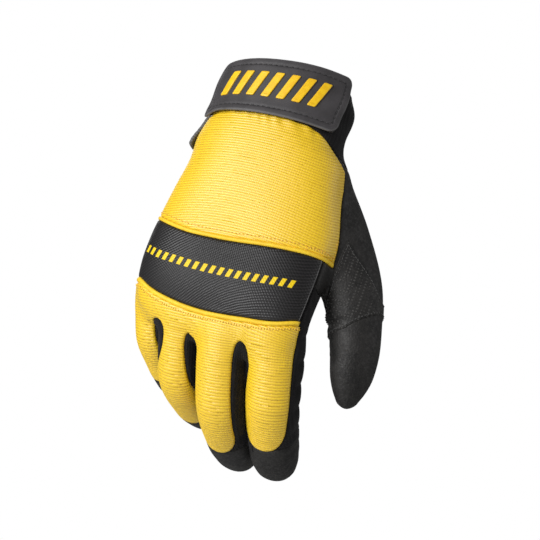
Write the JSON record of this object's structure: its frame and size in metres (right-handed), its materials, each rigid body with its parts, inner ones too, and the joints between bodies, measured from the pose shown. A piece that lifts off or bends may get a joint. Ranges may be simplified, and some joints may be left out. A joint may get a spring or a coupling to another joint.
{
  "type": "work glove",
  "caption": "Right-hand work glove as worn: ribbed stretch back, woven knuckle band, leather-like palm, thumb and fingertips, wrist strap with a moulded pull tab.",
  "frame": {"origin": "centre of the wrist opening, in the plane of the cuff edge", "axes": "+Z out of the wrist opening, away from the fingers; +Y towards the palm side; +X towards the thumb"},
  "size_m": [0.1435, 0.1168, 0.2115],
  "materials": {
    "ribbed_fabric": "matte ribbed stretch fabric, warm yellow",
    "rolled_hem": "matte rolled hem of the ribbed fabric, deeper yellow",
    "dark_fabric": "matte knitted fabric, black",
    "woven_band": "matte elastic band with a fine diagonal twill, black",
    "synthetic_leather": "soft synthetic leather with a fine grain, black",
    "textured_leather": "synthetic leather with a fine dotted texture, black",
    "strap_webbing": "flat stretch webbing, black",
    "moulded_tab": "satin moulded rubber, charcoal grey",
    "moulded_bar": "satin moulded rubber, warm yellow"
  },
  "bodies": {
    "root": {"cuff": "dark_fabric", "back_panel_hem": "rolled_hem", "finger_panel_hem": "rolled_hem", "back_panel": "ribbed_fabric", "knuckle_band": "woven_band", "finger_back_panel": "ribbed_fabric", "thumb_panel": "synthetic_leather", "index_side_panel": "dark_fabric", "web_index_middle": "dark_fabric", "web_middle_ring": "dark_fabric", "web_ring_little": "dark_fabric", "palm_panel": "synthetic_leather", "wrist_strap": "strap_webbing", "strap_tab": "moulded_tab", "grip_bar_1": "moulded_bar", "grip_bar_2": "moulded_bar", "grip_bar_3": "moulded_bar", "grip_bar_4": "moulded_bar", "grip_bar_5": "moulded_bar", "grip_bar_6": "moulded_bar", "grip_bar_7": "moulded_bar", "side_pull": "strap_webbing", "thumb_patch": "textured_leather"}
  },
  "joints": []
}
